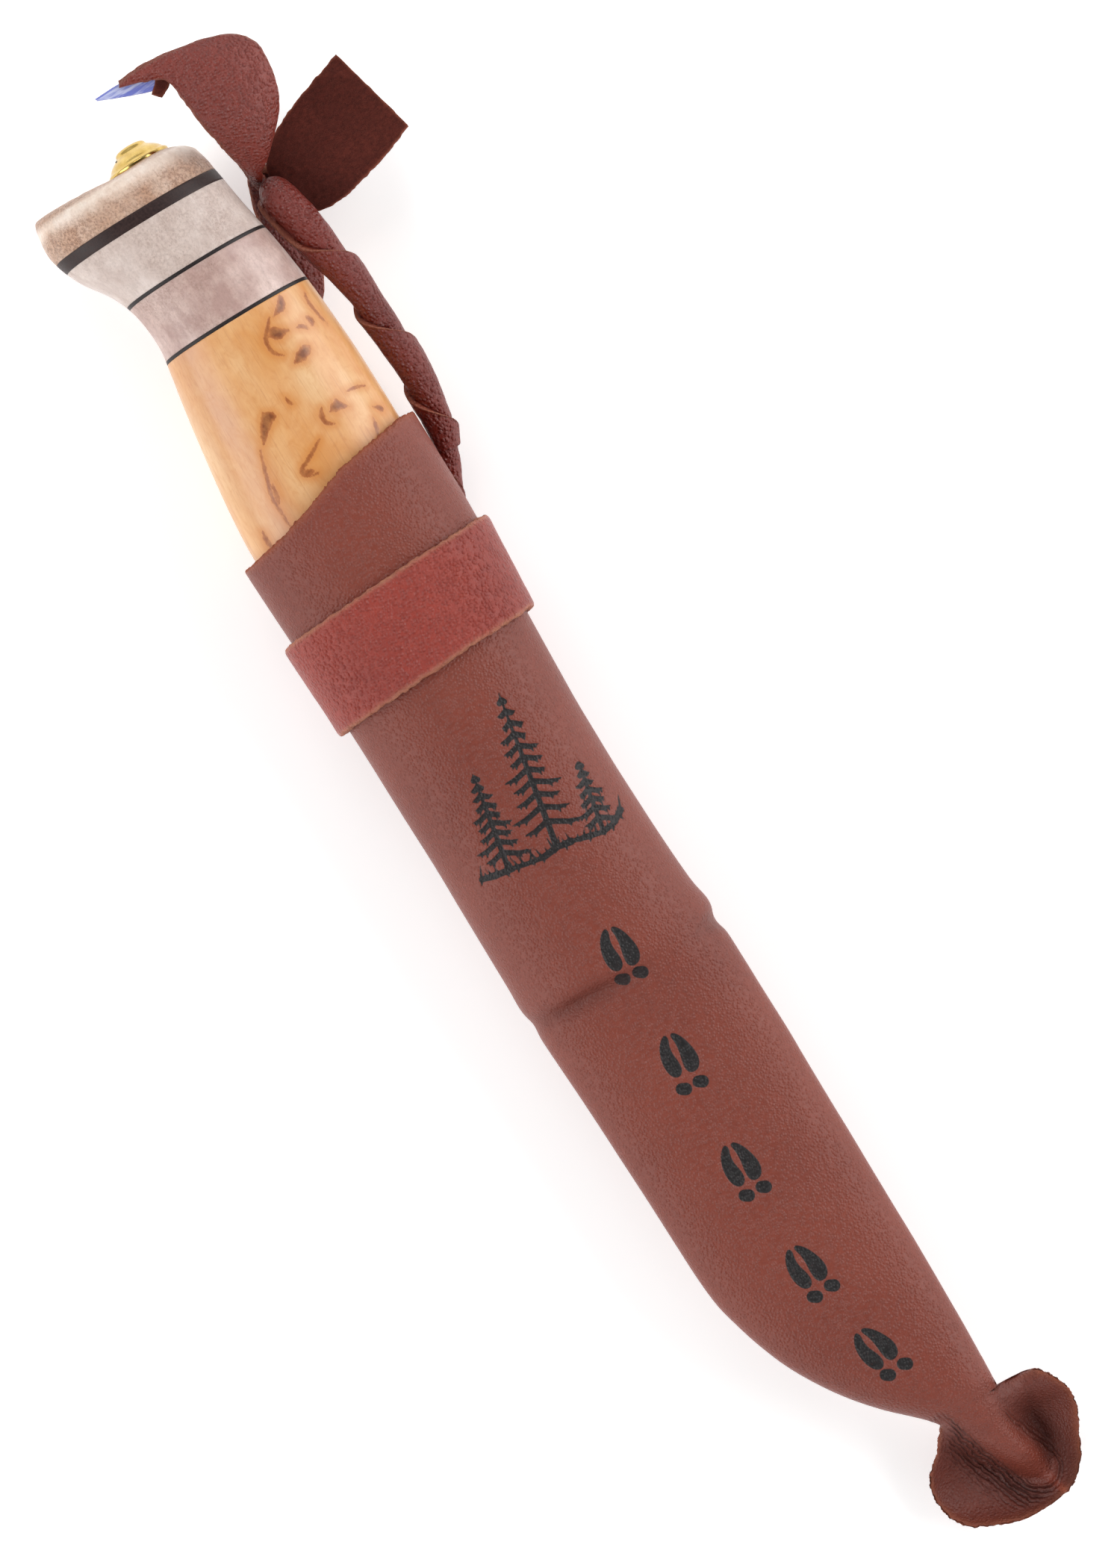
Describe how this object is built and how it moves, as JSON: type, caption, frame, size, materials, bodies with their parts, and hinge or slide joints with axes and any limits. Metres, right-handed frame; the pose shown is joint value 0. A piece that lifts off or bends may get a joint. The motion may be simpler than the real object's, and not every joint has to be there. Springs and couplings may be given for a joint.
{
  "type": "sheathed belt knife",
  "caption": "Nordic belt knife with a curly birch and antler handle, carried in a leather sheath with a throat band and a twisted strap hanger.",
  "frame": {"origin": "middle of the base of the bounding box: the surface that the sheath's back lies on", "axes": "+X runs from the pommel to the sheath's tip, +Y to the spine side where the hanger is, +Z out of the sheath's front"},
  "size_m": [0.2349, 0.0526, 0.0267],
  "materials": {
    "steel": "satin ground carbon steel",
    "brass": "polished brass",
    "curly_birch": "oiled and polished curly birch with brown burl figure",
    "black_spacer": "black fibre sheet",
    "antler_pink": "polished antler, pinkish grey with fine pores",
    "antler_grey": "polished antler, pale grey with fine pores",
    "dark_spacer": "dark brown pressed leather or bark",
    "antler_cap": "polished antler, cream rim and brown porous core",
    "sheath_leather": "red-brown wet-formed leather, satin",
    "strap_leather": "red-brown pebbled strap leather with raw edges",
    "liner_wood": "plain wood blade insert",
    "thread": "waxed linen thread",
    "clear_film": "thin clear violet film"
  },
  "bodies": {
    "sheath": {"sheath_body": "sheath_leather", "blade_liner": "liner_wood", "seam_thread": "thread", "strap_band": "strap_leather"},
    "knife": {"blade": "steel", "front_bolster": "brass", "birch_grip": "curly_birch", "spacer_lower": "black_spacer", "antler_ring_lower": "antler_pink", "spacer_upper": "black_spacer", "antler_ring_upper": "antler_grey", "spacer_dark": "dark_spacer", "antler_cap": "antler_cap", "pommel_washer": "brass"},
    "hanger": {"strap_twisted_leg": "strap_leather", "strap_flat_leg": "strap_leather", "tag_film": "clear_film"}
  },
  "joints": [
    {"name": "knife_draw", "type": "slide", "parent": "sheath", "child": "knife", "axis": [-1, 0, 0], "range_m": [0, 0.155]},
    {"name": "hanger_swing", "type": "hinge", "parent": "sheath", "child": "hanger", "pos_m": [-0.0425, 0.0036, 0.002], "axis": [0, 0, -1], "range_deg": [0, 40]}
  ]
}
